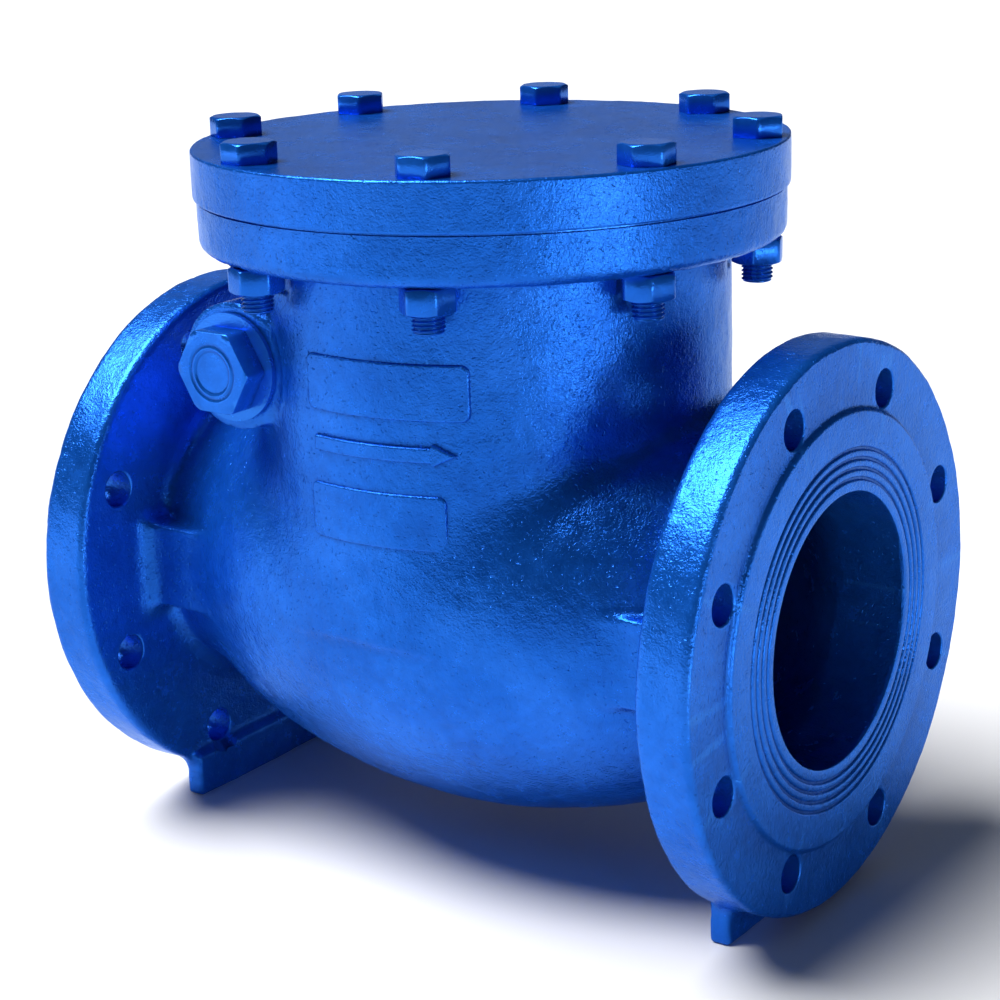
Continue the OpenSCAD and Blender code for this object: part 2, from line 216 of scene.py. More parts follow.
def casting_field(p):
    """The body casting, with both flange faces and the top face left a little thick for machining."""
    x, y, z = p[:, 0], p[:, 1], p[:, 2]
    end = np.abs(x)
    side = np.abs(y)
    r_pipe = np.hypot(y, z)
    r_neck = np.hypot(x, y)

    belly = barrel_field(x, r_pipe, BELLY_R, BELLY_CURVE_R, BELLY_HALF)
    stub = np.maximum(r_pipe - STUB_R, end - BACK_X - 5)
    shell = smooth_union(belly, stub, 16)

    neck = np.maximum(above_neck(p), np.maximum(-z, z - NUT_TOP - 5))
    shell = smooth_union(shell, neck, 12)

    # blocks on the casting's parting plane, between belly and flanges
    lug = block_field(end, side, z, (120, 0, -28), (BACK_X + 5, 115, 28), 3)
    shell = smooth_union(shell, lug, 5)

    flange = np.minimum(
        round_disc_field(end, r_pipe, BACK_X, FACE_X - RAISED_T + 0.4, FLANGE_R, RIM_EDGE),
        round_disc_field(end, r_pipe, BACK_X, FACE_X + 8, RAISED_R + 8, 1))
    shell = smooth_union(shell, flange, 17)

    top = round_disc_field(z, r_neck, NUT_TOP, TOP_FACE + 8, TOP_FLANGE_R, 7)
    shell = smooth_union(shell, top, 7)

    # room for each nut where the neck's fillet would reach it
    fold = (np.arctan2(y, x) - FIRST_BOLT + NUT_SECTOR / 2) % NUT_SECTOR - NUT_SECTOR / 2
    r_nut = np.hypot(r_neck * np.cos(fold) - COVER_BOLT_R, r_neck * np.sin(fold))
    seat = np.maximum(r_nut - NUT_SEAT_R, np.abs(z - NUT_TOP + 9) - 9)
    shell = -smooth_union(-shell, seat, 2)

    foot_low = (FOOT_X - FOOT_HALF_X, -FOOT_HALF_Y, BODY_LOW[2])
    foot_high = (FOOT_X + FOOT_HALF_X, FOOT_HALF_Y, BODY_LOW[2] + FOOT_HEIGHT)
    foot = block_field(end, y, z, foot_low, foot_high, 3)
    shell = smooth_union(shell, foot, 8)

    r_boss = np.hypot(x - HINGE[0], z - HINGE[2])
    boss = round_disc_field(side, r_boss, 60, BOSS_FACE, BOSS_R, 2.5)
    shell = smooth_union(shell, boss, 10)
    # the flat turned on the boss for the washer, which runs out into the neck
    spot = np.maximum(r_boss - BOSS_R - 1, BOSS_FACE - side)
    shell = -smooth_union(-shell, spot, 3)

    return np.maximum(shell, -cavity_field(x, y, z, r_pipe, r_neck))


def above_neck(p):
    """Height over the plain neck, without its relief."""
    slope = (NECK_LOW_R - NECK_TOP_R) / NUT_TOP
    return np.hypot(p[:, 0], p[:, 1]) - NECK_LOW_R + slope * p[:, 2]


def on_neck(p, outline, proud):
    """A flat mark with the given outline, standing proud of the neck and rooted 4 mm into it."""
    height = above_neck(p)
    return np.maximum(smooth_max(outline, height - proud, 1.4), -height - 4)


def arrow_field(p):
    """The raised flow arrow: a bar with a short pointed head."""
    x, z = p[:, 0], p[:, 2]
    head = ARROW_TIP - 14
    half = np.where(x < head, 4.6, np.clip((ARROW_TIP - x) * 0.5, -20, 7))
    return on_neck(p, np.maximum(np.abs(z - ARROW_Z) - half, ARROW_TAIL - x), ARROW_PROUD)


def pad_field(p, low, high):
    """A blank pad with rounded corners."""
    dx = np.abs(p[:, 0] - (low[0] + high[0]) / 2) - (high[0] - low[0]) / 2 + PAD_CORNER_R
    dz = np.abs(p[:, 2] - (low[1] + high[1]) / 2) - (high[1] - low[1]) / 2 + PAD_CORNER_R
    outline = np.hypot(np.maximum(dx, 0), np.maximum(dz, 0)) - PAD_CORNER_R
    return on_neck(p, outline, PAD_PROUD)


def cavity_field(x, y, z, r_pipe, r_neck):
    """The water space: belly, neck and the two ports, less the inner bosses and the stop ledge."""
    inner = barrel_field(x, r_pipe, BELLY_R - WALL, BELLY_CURVE_R - WALL, BACK_X)
    inner = np.maximum(inner, SEAT_X - x)
    inner = smooth_union(inner, np.maximum(r_neck - NECK_BORE_R, -z), 14)
    inner = smooth_union(inner, r_pipe - PORT_R, 8)
    r_boss = np.hypot(x - HINGE[0], z - HINGE[2])
    boss = np.maximum(r_boss - 26, INNER_BOSS_HALF_GAP - np.abs(y))
    ledge = block_field(x, y, z, (-150, -14, HINGE[2] - 22.3), (-127.5, 14, HINGE[2] - 8.3), 1)
    return np.maximum(inner, -np.minimum(boss, ledge))


# ---------------------------------------------------------------- meshing a field

def field_samples(field, low, high, step):
    """Field values on a regular grid, worked out only near the surface."""
    coarse = 4
    count = np.ceil((np.array(high) - low) / (step * coarse)).astype(int)
    centres = np.stack(np.meshgrid(*[
        low[i] + (np.arange(count[i]) + 0.5) * step * coarse for i in range(3)
    ], indexing="ij"), -1).reshape(-1, 3).astype(np.float32)
    rough = field(centres).reshape(count)
    near = np.abs(rough) < step * coarse * 1.9
    fine_near = near.repeat(coarse, 0).repeat(coarse, 1).repeat(coarse, 2)
    values = rough.repeat(coarse, 0).repeat(coarse, 1).repeat(coarse, 2).astype(np.float32)
    index = np.argwhere(fine_near)
    points = (np.array(low) + (index + 0.5) * step).astype(np.float32)
    values[fine_near] = field(points)
    return values


def surface_net(field, low, high, step):
    """Vertices and quads of the field's zero surface, one vertex for each grid cell that it crosses."""
    values = field_samples(field, low, high, step)
    inside = values < 0
    shape = np.array(values.shape)
    stride = np.array([shape[1] * shape[2], shape[2], 1])
    flat = values.ravel()
    sums = np.zeros((flat.size, 3), dtype=np.float32)
    hits = np.zeros(flat.size, dtype=np.float32)
    quads = []
    for axis in range(3):
        first = [slice(None)] * 3
        second = [slice(None)] * 3
        first[axis] = slice(0, -1)
        second[axis] = slice(1, None)
        change = inside[tuple(first)] != inside[tuple(second)]
        cell = np.argwhere(change)
        start = cell @ stride
        a, b = flat[start], flat[start + stride[axis]]
        crossing = cell.astype(np.float32)
        crossing[:, axis] += a / (a - b)
        u, v = (axis + 1) % 3, (axis + 2) % 3
        around = [start - stride[u] - stride[v], start - stride[v], start, start - stride[u]]
        for ids in around:
            for k in range(3):
                sums[:, k] += np.bincount(ids, crossing[:, k], flat.size).astype(np.float32)
            hits += np.bincount(ids, minlength=flat.size).astype(np.float32)
        ring = np.stack(around, 1)
        flip = a >= 0
        ring[flip] = ring[flip][:, ::-1]
        quads.append(ring)
    used = np.flatnonzero(hits)
    number = np.full(flat.size, -1, dtype=np.int64)
    number[used] = np.arange(used.size)
    points = np.array(low) + (sums[used] / hits[used, None] + 0.5) * step
    return points.astype(np.float64), number[np.concatenate(quads)]


def gradient(field, points, step=0.2):
    slope = np.empty_like(points)
    for k in range(3):
        shift = np.zeros(3)
        shift[k] = step
        slope[:, k] = (field(points + shift) - field(points - shift)) / (2 * step)
    return slope


def settle(field, points, relief=None):
    """Moves points onto the field's zero surface, then out by the relief."""
    for _ in range(2):
        slope = gradient(field, points)
        size = np.maximum((slope ** 2).sum(1), 0.25)
        points = points - slope * (np.clip(field(points), -1.5, 1.5) / size)[:, None]
    if relief is not None:
        slope = gradient(field, points, 0.6)
        slope /= np.maximum(np.linalg.norm(slope, axis=1), 0.3)[:, None]
        points = points + slope * relief(points)[:, None]
    return points


# ---------------------------------------------------------------- mesh building

def new_piece(name, verts_mm, faces, material, smooth=True):
    """A mesh object from points in millimetres from the pipe axis."""
    verts = np.asarray(verts_mm, dtype=np.float64) * MM + AXIS
    mesh = bpy.data.meshes.new(name)
    mesh.from_pydata(verts.tolist(), [], [list(map(int, f)) for f in faces])
    mesh.validate()
    mesh.materials.append(material)
    mesh.polygons.foreach_set("use_smooth", [smooth] * len(mesh.polygons))
    mesh.update()
    piece = bpy.data.objects.new(name, mesh)
    bpy.context.collection.objects.link(piece)
    return piece


def ring_mesh(rings, capped=True, closed=False):
    """Verts and faces from rings of equal length.

    Capped adds a middle point to each end; closed joins the last ring to the first.
    """
    count = len(rings[0])
    verts = np.concatenate(rings)
    step = np.arange(count)
    nxt = (step + 1) % count
    faces = []
    last = len(rings) if closed else len(rings) - 1
    for i in range(last):
        a = i * count
        b = ((i + 1) % len(rings)) * count
        faces.append(np.stack([a + step, a + nxt, b + nxt, b + step], 1))
    faces = [tuple(f) for f in np.concatenate(faces)]
    if capped:
        low = len(verts)
        verts = np.concatenate([verts, [np.mean(rings[0], axis=0)], [np.mean(rings[-1], axis=0)]])
        top = (len(rings) - 1) * count
        faces += [(low, int(n), int(s)) for s, n in zip(step, nxt)]
        faces += [(low + 1, top + int(s), top + int(n)) for s, n in zip(step, nxt)]
    return verts, faces


def circle_ring(r, z, count):
    """One ring round Z; r may be an array with a radius for each angle."""
    t = np.arange(count) * 2 * math.pi / count
    return np.stack([r * np.cos(t), r * np.sin(t), np.full(count, 1.0) * z], 1)


def hex_radius(across_flats, count, soft):
    """Radius of a hexagon with softened corners at count angles."""
    t = np.arange(count) * 2 * math.pi / count
    off = t % (math.pi / 3) - math.pi / 6
    r = across_flats / 2 / np.cos(off)
    corner = across_flats / 2 / math.cos(math.pi / 6) - soft
    h = np.clip(soft - np.abs(r - corner), 0, None) / soft
    return np.minimum(r, corner) - h * h * soft * 0.25


def turned(verts, matrix):
    """Points moved by a 4 x 4 matrix."""
    m = np.array(matrix)
    return verts @ m[:3, :3].T + m[:3, 3]


def apply_modifiers(piece):
    """Replaces the piece's mesh by what its modifiers make of it."""
    graph = bpy.context.evaluated_depsgraph_get()
    done = bpy.data.meshes.new_from_object(piece.evaluated_get(graph))
    old = piece.data
    piece.modifiers.clear()
    piece.data = done
    done.name = old.name
    bpy.data.meshes.remove(old)


def weigh_normals(piece):
    """Sharpens the machined edges and lets large flat faces rule the shading next to small ones."""
    piece.data.set_sharp_from_angle(angle=math.radians(35))
    weigh = piece.modifiers.new("weigh", "WEIGHTED_NORMAL")
    weigh.keep_sharp = True
    apply_modifiers(piece)


def join(piece, parts):
    """Adds the parts to the piece as one closed mesh."""
    combine(piece, parts, "UNION")


def cut(piece, cutters):
    """Subtracts the cutters from the piece and keeps the result as plain mesh."""
    combine(piece, cutters, "DIFFERENCE")
    weigh_normals(piece)


def combine(piece, cutters, operation):
    """Joins or subtracts closed meshes, then removes them."""
    for cutter in cutters:
        tool = piece.modifiers.new("combine", "BOOLEAN")
        tool.operation = operation
        tool.object = cutter
        tool.solver = "MANIFOLD"
    apply_modifiers(piece)
    for cutter in cutters:
        mesh = cutter.data
        bpy.data.objects.remove(cutter)
        bpy.data.meshes.remove(mesh)


def lathe_cutter(name, profile, matrix, count=160):
    """A closed solid of revolution for cutting; profile is (radius, height) pairs from bottom to top."""
    rings = [circle_ring(r, z, count) for r, z in profile]
    verts, faces = ring_mesh(rings)
    return new_piece(name, turned(verts, matrix), faces, MATERIALS["enamel"])


def along_x_matrix(sign=1):
    """Turns +Z into +X or -X."""
    return Matrix.Rotation(math.radians(90 * sign), 4, "Y")


# ---------------------------------------------------------------- materials

def node_tree(name):
    material = bpy.data.materials.new(name)
    material.use_nodes = True
    tree = material.node_tree
    tree.nodes.clear()
    return material, tree


def add(tree, kind, **values):
    node = tree.nodes.new(kind)
    for key, value in values.items():
        if key in node.inputs:
            node.inputs[key].default_value = value
        else:
            setattr(node, key, value)
    return node


def noise_node(tree, coords, scale, detail=2.0, roughness=0.5):
    node = add(tree, "ShaderNodeTexNoise", Scale=scale, Detail=detail, Roughness=roughness)
    tree.links.new(coords.outputs["Object"], node.inputs["Vector"])
    return node


def ramp_node(tree, source, stops):
    node = tree.nodes.new("ShaderNodeValToRGB")
    elements = node.color_ramp.elements
    while len(elements) < len(stops):
        elements.new(0.5)
    for element, (place, value) in zip(elements, stops):
        element.position = place
        colour = value if isinstance(value, tuple) else (value, value, value)
        element.color = (*colour, 1)
    tree.links.new(source, node.inputs["Fac"])
    return node


def mix_colour(tree, factor, a, b, blend="MIX"):
    node = add(tree, "ShaderNodeMix", data_type="RGBA", blend_type=blend)
    for value, place in ((factor, 0), (a, 6), (b, 7)):
        if isinstance(value, bpy.types.NodeSocket):
            tree.links.new(value, node.inputs[place])
        elif place == 0:
            node.inputs[place].default_value = value
        else:
            node.inputs[place].default_value = (*value, 1)
    return node.outputs[2]


def bump_chain(tree, heights):
    """Bumps stacked one on another: (height socket, strength, distance in metres)."""
    normal = None
    for socket, strength, distance in heights:
        node = add(tree, "ShaderNodeBump", Strength=strength, Distance=distance)
        tree.links.new(socket, node.inputs["Height"])
        if normal is not None:
            tree.links.new(normal, node.inputs["Normal"])
        normal = node.outputs["Normal"]
    return normal


ENAMEL_GLOSS = (0.42, 0.68, 1.0, 1)
ENAMEL_SHEEN = 0.62


def enamel_material(name, grain):
    """Glossy blue enamel with painted shade in hollows and painted highlights on sharp edges; grain is how much of
    the sand-cast texture shows through.
    """
    material, tree = node_tree(name)
    coords = tree.nodes.new("ShaderNodeTexCoord")
    shader = add(tree, "ShaderNodeBsdfPrincipled", Metallic=ENAMEL_SHEEN)
    output = tree.nodes.new("ShaderNodeOutputMaterial")
    geometry = tree.nodes.new("ShaderNodeNewGeometry")

    patches = noise_node(tree, coords, 14, 4, 0.6)
    mottle = noise_node(tree, coords, 120, 3, 0.6)
    base = ramp_node(tree, patches.outputs["Fac"], [
        (0.32, (0.004, 0.095, 0.52)), (0.5, (0.006, 0.118, 0.61)), (0.68, (0.012, 0.145, 0.70))])
    speckle = ramp_node(tree, mottle.outputs["Fac"], [(0.3, 0.80), (0.7, 1.0)])
    colour = mix_colour(tree, 1.0, base.outputs["Color"], speckle.outputs["Color"], "MULTIPLY")
    # painted shade: where pointiness finds a hollow, the enamel is darkened to deep navy, as if shade fell there
    painted_shade_hollows = ramp_node(tree, geometry.outputs["Pointiness"], [(0.42, 1.0), (0.5, 0.0)])
    colour = mix_colour(tree, painted_shade_hollows.outputs["Color"], colour, (0.0005, 0.022, 0.15))
    # painted highlight: where pointiness finds a sharp edge, the enamel is lightened to a brighter blue
    painted_highlight_ridges = ramp_node(tree, geometry.outputs["Pointiness"], [(0.52, 0.0), (0.62, 0.55)])
    colour = mix_colour(tree, painted_highlight_ridges.outputs["Color"], colour, (0.02, 0.17, 0.68))
    tree.links.new(colour, shader.inputs["Base Color"])

    gloss = noise_node(tree, coords, 60, 4, 0.65)
    rough = ramp_node(tree, gloss.outputs["Fac"], [(0.3, 0.16), (0.72, 0.31)])
    tree.links.new(rough.outputs["Color"], shader.inputs["Roughness"])
    shader.inputs["Specular IOR Level"].default_value = 0.4
    shader.inputs["Specular Tint"].default_value = ENAMEL_GLOSS

    coarse = noise_node(tree, coords, 170, 3, 0.55)
    peel = noise_node(tree, coords, 400, 3, 0.6)
    fine = noise_node(tree, coords, 900, 2, 0.5)
    spots = noise_node(tree, coords, 430, 0, 0.5)
    pits = ramp_node(tree, spots.outputs["Fac"], [(0.19, 0.0), (0.27, 1.0)])
    normal = bump_chain(tree, [
        (coarse.outputs["Fac"], 0.16 * grain, 0.0014),
        (peel.outputs["Fac"], 0.42 * grain, 0.0010),
        (fine.outputs["Fac"], 0.60 * grain, 0.0004),
        (pits.outputs["Color"], 0.50 * grain, 0.0006),
    ])
    tree.links.new(normal, shader.inputs["Normal"])
    tree.links.new(shader.outputs["BSDF"], output.inputs["Surface"])
    return material


def metal_material(name, dark, light, metallic, rough_low, rough_high, scale, bump):
    material, tree = node_tree(name)
    coords = tree.nodes.new("ShaderNodeTexCoord")
    shader = add(tree, "ShaderNodeBsdfPrincipled", Metallic=metallic)
    output = tree.nodes.new("ShaderNodeOutputMaterial")
    tone = noise_node(tree, coords, scale, 4, 0.6)
    base = ramp_node(tree, tone.outputs["Fac"], [(0.3, dark), (0.7, light)])
    tree.links.new(base.outputs["Color"], shader.inputs["Base Color"])
    rough = ramp_node(tree, tone.outputs["Fac"], [(0.3, rough_low), (0.7, rough_high)])
    tree.links.new(rough.outputs["Color"], shader.inputs["Roughness"])
    grain = noise_node(tree, coords, scale * 6, 3, 0.6)
    tree.links.new(bump_chain(tree, [(grain.outputs["Fac"], bump, 0.0006)]), shader.inputs["Normal"])
    tree.links.new(shader.outputs["BSDF"], output.inputs["Surface"])
    return material


MATERIALS = {
    "enamel": enamel_material("blue_enamel_on_casting", 1.0),
    "enamel_smooth": enamel_material("blue_enamel_on_steel", 0.3),
    "bare_iron": metal_material(
        "dark_cast_iron", (0.02, 0.021, 0.024), (0.05, 0.052, 0.06), 0.3, 0.45, 0.7, 60, 0.5),
    "bronze": metal_material(
        "turned_bronze", (0.42, 0.22, 0.07), (0.6, 0.36, 0.14), 1.0, 0.22, 0.38, 90, 0.15),
    "steel": metal_material(
        "turned_steel", (0.5, 0.5, 0.52), (0.7, 0.7, 0.72), 1.0, 0.18, 0.34, 90, 0.12),
    "rubber": metal_material(
        "black_rubber", (0.012, 0.012, 0.013), (0.03, 0.03, 0.032), 0.0, 0.5, 0.75, 80, 0.4),
}


# ---------------------------------------------------------------- the body casting

CASTING_STEP = 2.0
MARK_STEP = 0.8


def flange_face_cutter(sign):
    """Machines one end: the rim's face, the raised face with its grooves, and the port."""
    face = FACE_X
    rim_face = FACE_X - RAISED_T
    beyond = FACE_X + 20
    profile = [(PORT_R, 170), (PORT_R, face - 2.0), (PORT_R + 0.6, face - 0.6), (PORT_R + 2.0, face)]
    for centre in GROOVES_R:
        profile += [(centre - 2.0, face), (centre - 1.2, face - 0.4), (centre - 0.6, face - 1.3)]
        profile += [(centre + 0.6, face - 1.3), (centre + 1.2, face - 0.4), (centre + 2.0, face)]
    profile += [(RAISED_R - 1.8, face), (RAISED_R - 0.5, face - 0.5), (RAISED_R + 0.3, face - 1.5)]
    profile += [(RAISED_R + 1.2, rim_face + 0.5), (RAISED_R + 2.8, rim_face)]
    profile += [(FLANGE_R + 20, rim_face), (FLANGE_R + 20, beyond)]
    return lathe_cutter("face_cutter", profile, along_x_matrix(sign), 256)


def hole_cutter(r, start, end, place, flare=1.2):
    """A drill along Z from start to end whose two mouths are slightly rounded, moved by place."""
    profile = [
        (r + flare + 6, start - 6), (r + flare, start), (r + 0.3 * flare, start + 0.4 * flare),
        (r, start + flare), (r, end - flare), (r + 0.3 * flare, end - 0.4 * flare),
        (r + flare, end), (r + flare + 6, end + 6),
    ]
    return lathe_cutter("hole_cutter", profile, place, 48)


def around_z(count, radius, first):
    return [
        Matrix.Rotation(first + i * 2 * math.pi / count, 4, "Z") @ Matrix.Translation((radius, 0, 0))
        for i in range(count)
    ]


COVER_BOLT_PLACES = around_z(COVER_BOLTS, COVER_BOLT_R, FIRST_BOLT)


def mark_piece(name, field, low, high):
    points, quads = surface_net(field, np.array(low), np.array(high), MARK_STEP)
    points = settle(field, points, lambda p: 0.25 * casting_relief(p))
    return new_piece(name, points, quads, MATERIALS["enamel"])


def neck_marks():
    front, back = -NECK_LOW_R - 8, -112
    arrow_low = (ARROW_TAIL - 6, front, ARROW_Z - 13)
    arrow_high = (ARROW_TIP + 6, back, ARROW_Z + 13)
    marks = [mark_piece("arrow", arrow_field, arrow_low, arrow_high)]
    for k, (low, high) in enumerate(PADS):
        box_low = (low[0] - 6, front, low[1] - 6)
        box_high = (high[0] + 6, back, high[1] + 6)
        marks.append(mark_piece(f"pad_{k}", lambda p: pad_field(p, low, high), box_low, box_high))
    return marks


def body_casting():
    low = BODY_LOW - 14
    high = BODY_HIGH + 14
    points, quads = surface_net(casting_field, low, high, CASTING_STEP)
    points = settle(casting_field, points, casting_relief)
    piece = new_piece("body_casting", points, quads, MATERIALS["enamel"])
    join(piece, neck_marks())
    cutters = []
    for sign in (1, -1):
        cutters.append(flange_face_cutter(sign))
        for place in around_z(FLANGE_HOLES, FLANGE_BOLT_R, FIRST_BOLT):
            where = along_x_matrix(sign) @ place
            cutters.append(hole_cutter(FLANGE_HOLE_R[sign], BACK_X, FACE_X - RAISED_T, where))
    upright = Matrix.Identity(4)
    cutters.append(lathe_cutter("top_cutter", [(210, TOP_FACE), (210, TOP_FACE + 20)], upright, 64))
    cutters.append(lathe_cutter("ground_cutter", [(320, BODY_LOW[2] - 20), (320, BODY_LOW[2])], upright, 64))
    for place in COVER_BOLT_PLACES:
        cutters.append(hole_cutter(COVER_HOLE_R, NUT_TOP, TOP_FACE, place, 0.6))
    for sign in (1, -1):
        front = Matrix.Translation((HINGE[0], 0, HINGE[2])) @ Matrix.Rotation(math.radians(90 * sign), 4, "X")
        profile = [(PIN_BUSH_R + 0.05, 40), (PIN_BUSH_R + 0.05, PLUG_SEAT_END)]
        profile += [(PLUG_THREAD_R + 0.05, PLUG_SEAT_END), (PLUG_THREAD_R + 0.05, BOSS_FACE + 20)]
        cutters.append(lathe_cutter("boss_cutter", profile, front, 96))
    seat = [(SEAT_POCKET_R, SEAT_X - 12), (SEAT_POCKET_R, SEAT_X + 1)]
    cutters.append(lathe_cutter("seat_cutter", seat, along_x_matrix(1), 160))
    cut(piece, cutters)
    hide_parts("body")
    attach(piece, "valve_body")
    return piece


# ---------------------------------------------------------------- cover

def rounded_profile(r, low, high, edge_low, edge_high, steps=5):
    """(radius, height) pairs round the rim of a disc, from the bottom edge to the top edge."""
    out = []
    for i in range(steps + 1):
        t = math.radians(90 * i / steps)
        out.append((r - edge_low + edge_low * math.sin(t), low + edge_low - edge_low * math.cos(t)))
    for i in range(steps + 1):
        t = math.radians(90 * i / steps)
        out.append((r - edge_high + edge_high * math.cos(t), high - edge_high + edge_high * math.sin(t)))
    return out


def cover_piece():
    count = 480
    spacing = 2.5
    spigot_r = NECK_BORE_R - 0.5
    profile = [(r, COVER_LOW[2]) for r in np.arange(30, spigot_r - 2, 12)]
    profile += [(spigot_r - 0.8, COVER_LOW[2]), (spigot_r, COVER_LOW[2] + 0.8), (spigot_r, COVER_BOTTOM)]
    profile += [(r, COVER_BOTTOM) for r in np.arange(spigot_r + 4, COVER_R - 3, 6)]
    rim = rounded_profile(COVER_R, COVER_BOTTOM, COVER_TOP, 1.5, 2.0)
    side = [(COVER_R, z) for z in np.arange(COVER_BOTTOM + 4, COVER_TOP - 6, 2.6)]
    profile += rim[:6] + side + rim[6:]
    top = [(r, COVER_TOP) for r in np.arange(COVER_R - 7, 3, -spacing)]
    profile += top
    rings = [circle_ring(r, z, count) for r, z in profile]
    verts, faces = ring_mesh(rings)
    verts = cast_skin(verts, faces, COVER_BOTTOM + 0.3, 0.75)
    piece = new_piece("cover_casting", verts, faces, MATERIALS["enamel"])
    holes = [hole_cutter(COVER_HOLE_R, COVER_BOTTOM, COVER_TOP, place, 0.5) for place in COVER_BOLT_PLACES]
    cut(piece, holes)
    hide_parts("cover")
    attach(piece, "valve_body")
    return piece


def gasket_piece():
    """The cover gasket, its edge a little uneven under the paint."""
    low, high = GASKET_LOW[2], GASKET_HIGH[2]
    count = 360
    t = np.arange(count) * 2 * math.pi / count
    edge_points = np.stack([TOP_FLANGE_R * np.cos(t), TOP_FLANGE_R * np.sin(t), 0 * t], 1)
    outer = GASKET_HIGH[0] - 0.15 + 0.15 * noise(edge_points, 9, 80)
    inner = NECK_BORE_R + 0.5
    rings = [circle_ring(inner, low, count), circle_ring(outer, low, count)]
    rings += [circle_ring(outer, high, count), circle_ring(inner, high, count)]
    verts, faces = ring_mesh(rings, capped=False, closed=True)
    piece = new_piece("gasket", verts, faces, MATERIALS["enamel_smooth"])
    cut(piece, [hole_cutter(COVER_HOLE_R, low, high, place, 0.01) for place in COVER_BOLT_PLACES])
    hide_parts("cover_gasket")
    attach(piece, "valve_body")


def vertex_normals(verts, faces):
    tris = []
    for f in faces:
        tris.append((f[0], f[1], f[2]))
        if len(f) == 4:
            tris.append((f[0], f[2], f[3]))
    tris = np.array(tris)
    n = np.cross(verts[tris[:, 1]] - verts[tris[:, 0]], verts[tris[:, 2]] - verts[tris[:, 0]])
    out = np.zeros_like(verts)
    for k in range(3):
        for c in range(3):
            out[:, c] += np.bincount(tris[:, k], n[:, c], len(verts))
    return out / np.maximum(np.linalg.norm(out, axis=1), 1e-9)[:, None]


def cast_skin(verts, faces, above, amount):
    """Adds the casting relief to the points above a height, pushed only inwards so that the size holds."""
    normals = vertex_normals(verts, faces)
    relief = casting_relief(verts) * amount
    relief = relief - 0.35 * amount
    relief[verts[:, 2] < above] = 0
    return verts + normals * relief[:, None]


# ---------------------------------------------------------------- bolts, nuts and plugs

HEX_COUNT = 96


def hex_cap(across_flats, low, high, chamfered_low, soft=0.4, edge=0.3, flat=None):
    """Rings up the side of a hexagonal block, chamfered outside the radius flat at the top.

    chamfered_low chamfers the bottom too.
    """
    r = hex_radius(across_flats, HEX_COUNT, soft)
    flat = across_flats / 2 - 0.6 if flat is None else flat
    drop = np.maximum(r - flat, 0) * math.tan(math.radians(28))
    rim = np.minimum(r - edge, flat)
    rings = []
    if chamfered_low:
        rings.append(circle_ring(rim, low, HEX_COUNT))
        rings.append(circle_ring(r - edge * 0.8, low + drop * 0.9, HEX_COUNT))
        rings.append(circle_ring(r, low + drop + edge, HEX_COUNT))
    else:
        rings.append(circle_ring(r - edge, low, HEX_COUNT))
        rings.append(circle_ring(r, low + edge, HEX_COUNT))
    middle = (low + high) / 2
    rings.append(circle_ring(r, middle, HEX_COUNT))
    rings.append(circle_ring(r, high - drop - edge, HEX_COUNT))
    rings.append(circle_ring(r - edge * 0.8, high - drop * 0.9, HEX_COUNT))
    rings.append(circle_ring(rim, high, HEX_COUNT))
    return rings


def thread_rings(r, depth, pitch, low, high, tip):
    """Rings of a real helical thread from low to high, tapered over the first tip millimetres."""
    t = np.arange(HEX_COUNT) / HEX_COUNT
    rings = []
    for z in np.arange(low, high, pitch / 8):
        phase = (z / pitch - t) % 1.0
        groove = np.clip(1.25 - 2.5 * np.abs(phase - 0.5), 0, 1)
        radius = r - depth * groove
        radius = np.minimum(radius, r - depth * 1.1 + max(0.0, (z - low) / tip) * depth * 1.4)
        rings.append(circle_ring(radius, z, HEX_COUNT))
    return rings


def bolt_piece(i):
    """Cover bolt i: head on the cover, real thread below the nut."""
    tip = BOLT_LOW[2]
    head = COVER_TOP - 0.35
    rings = [circle_ring(3.0, tip, HEX_COUNT), circle_ring(7.2, tip, HEX_COUNT)]
    rings += thread_rings(THREAD_R, 1.35, 2.5, tip + 0.4, NUT_TOP - 14, 2.2)
    rings += [circle_ring(THREAD_R, z, HEX_COUNT) for z in (NUT_TOP - 13, COVER_BOTTOM, head)]
    rings += hex_cap(BOLT_ACROSS_FLATS, head, BOLT_HIGH[2], False)
    rings += [circle_ring(r, BOLT_HIGH[2], HEX_COUNT) for r in (13.4, 9.0, 4.0)]
    verts, faces = ring_mesh(rings)
    top = verts[:, 2] > head - 0.1
    spin = np.array(Matrix.Rotation(math.radians(37 * i), 3, "Z"))
    verts[top] = verts[top] @ spin.T
    verts = turned(verts, COVER_BOLT_PLACES[i - 1])
    verts += vertex_normals(verts, faces) * (0.10 * noise(verts, 5, 20 + i) - 0.10)[:, None]
    piece = new_piece(f"bolt_{i}", verts, faces, MATERIALS["enamel_smooth"])
    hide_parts(f"cover_bolt_{i}")
    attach(piece, "valve_body")


def nut_piece(i):
    """Nut of cover bolt i, with a flat facing outwards."""
    low, high = NUT_LOW[2], NUT_HIGH[2]
    bore = THREAD_R + 0.05
    rings = [circle_ring(bore, high - 0.2, HEX_COUNT), circle_ring(bore, low + 1.2, HEX_COUNT)]
    rings += [circle_ring(bore + 1.0, low, HEX_COUNT)]
    rings += hex_cap(BOLT_ACROSS_FLATS, low, high, True)
    rings += [circle_ring(bore + 1.0, high, HEX_COUNT)]
    verts, faces = ring_mesh(rings, capped=False, closed=True)
    flat_outwards = Matrix.Rotation(math.radians(30), 4, "Z")
    verts = turned(verts, COVER_BOLT_PLACES[i - 1] @ flat_outwards)
    skin = vertex_normals(verts, faces) * (0.10 * noise(verts, 5, 40 + i) - 0.10)[:, None]
    r_bolt = np.linalg.norm(verts[:, :2] - bolt_centre(i), axis=1)
    skin[r_bolt < bore + 0.5] = 0
    piece = new_piece(f"nut_{i}", verts + skin, faces, MATERIALS["enamel_smooth"])
    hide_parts(f"cover_nut_{i}")
    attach(piece, "valve_body")


